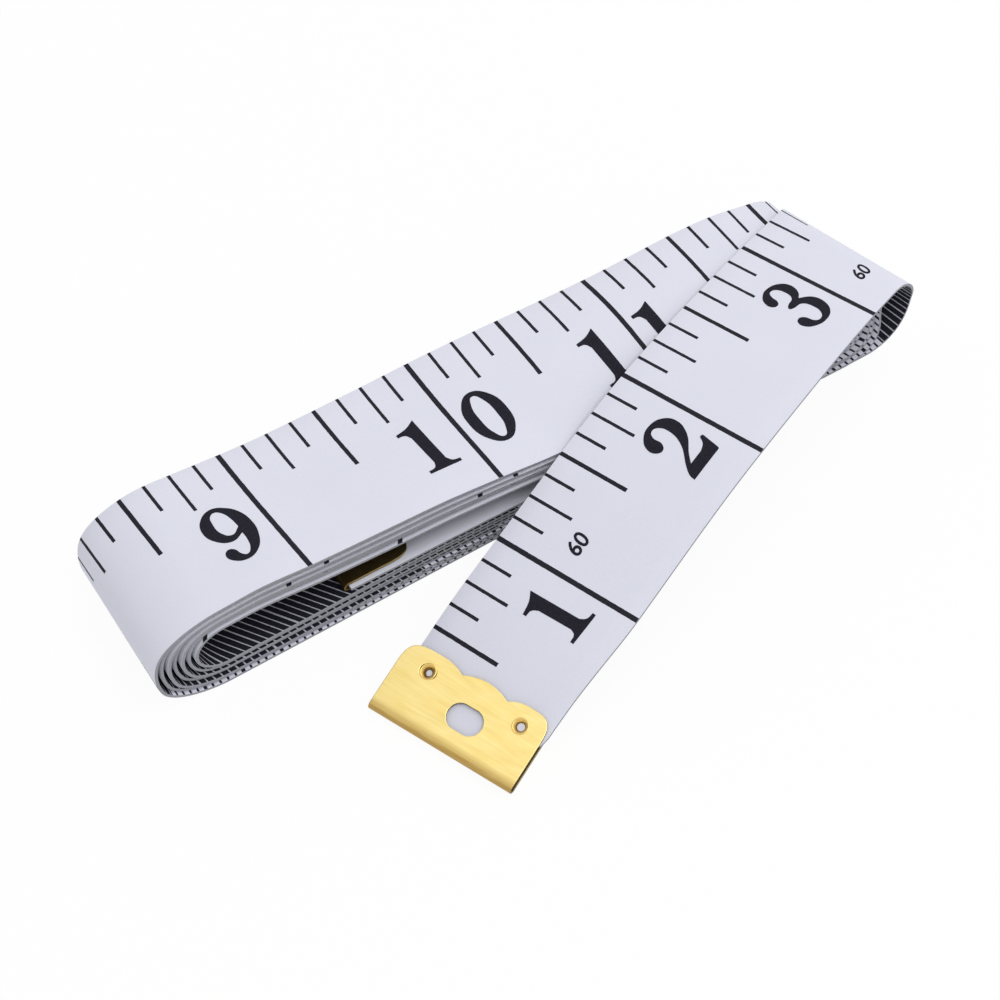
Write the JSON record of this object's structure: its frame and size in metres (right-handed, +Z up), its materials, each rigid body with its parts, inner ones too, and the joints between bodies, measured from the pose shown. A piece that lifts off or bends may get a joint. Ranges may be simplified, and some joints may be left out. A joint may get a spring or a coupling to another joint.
{
  "type": "cloth tape measure",
  "caption": "Flat-coiled cloth tape measure with brass end tips; its free end folds over the coil, lifts off it, unrolls its fold and lays out flat beyond the coil.",
  "frame": {"origin": "middle of the footprint, on the surface that the coil lies on", "axes": "+X along the flat coil from its wide fold to the fold of the free end, +Y across the tape away from the free end's tip, +Z up"},
  "size_m": [0.1068, 0.05, 0.016],
  "materials": {
    "tape": "smooth coated cloth",
    "brass": "brushed across the tape",
    "eyelet_brass": "plain"
  },
  "bodies": {
    "coil": {"tape_coil": "tape", "tape_fold_1": "tape", "inner_tip": "brass", "inner_eyelet_1": "eyelet_brass", "inner_eyelet_2": "eyelet_brass"},
    "fold_1": {"tape_fold_2": "tape"},
    "fold_2": {"tape_fold_3": "tape"},
    "fold_3": {"tape_fold_4": "tape"},
    "fold_4": {"tape_fold_5": "tape"},
    "fold_5": {"tape_fold_6": "tape"},
    "free_end": {"tape_free_end": "tape", "tape_free_bend": "tape"},
    "zero_end": {"tape_zero_end": "tape", "outer_tip": "brass", "outer_eyelet_1": "eyelet_brass", "outer_eyelet_2": "eyelet_brass"}
  },
  "joints": [
    {"name": "fold_1_open", "type": "hinge", "parent": "coil", "child": "fold_1", "pos_m": [0.04625, 0.01544, 0.00039], "axis": [-0.1771, 0.9842, 0], "range_deg": [0, 30], "deforming": ["tape_fold_1"]},
    {"name": "fold_2_open", "type": "hinge", "parent": "fold_1", "child": "fold_2", "pos_m": [0.04944, 0.01534, 0.00215], "axis": [-0.1771, 0.9842, 0], "range_deg": [0, 30], "deforming": ["tape_fold_2"]},
    {"name": "fold_3_open", "type": "hinge", "parent": "fold_2", "child": "fold_3", "pos_m": [0.05128, 0.01503, 0.00518], "axis": [-0.1771, 0.9842, 0], "range_deg": [0, 30], "deforming": ["tape_fold_3"]},
    {"name": "fold_4_open", "type": "hinge", "parent": "fold_3", "child": "fold_4", "pos_m": [0.05139, 0.0144, 0.00867], "axis": [-0.1771, 0.9842, 0], "range_deg": [0, 30], "deforming": ["tape_fold_4"]},
    {"name": "fold_5_open", "type": "hinge", "parent": "fold_4", "child": "fold_5", "pos_m": [0.04977, 0.01347, 0.0117], "axis": [-0.1771, 0.9842, 0], "range_deg": [0, 30], "deforming": ["tape_fold_5"]},
    {"name": "free_end_lift", "type": "hinge", "parent": "fold_5", "child": "free_end", "pos_m": [0.04682, 0.01227, 0.01346], "axis": [-0.1771, 0.9842, 0], "range_deg": [0, 30], "deforming": ["tape_fold_6"]},
    {"name": "zero_end_straighten", "type": "hinge", "parent": "free_end", "child": "zero_end", "pos_m": [0.00172, -0.0045, 0.0137], "axis": [-0.3485, 0.9373, 0], "range_deg": [0, 21], "deforming": ["tape_free_bend"]}
  ]
}
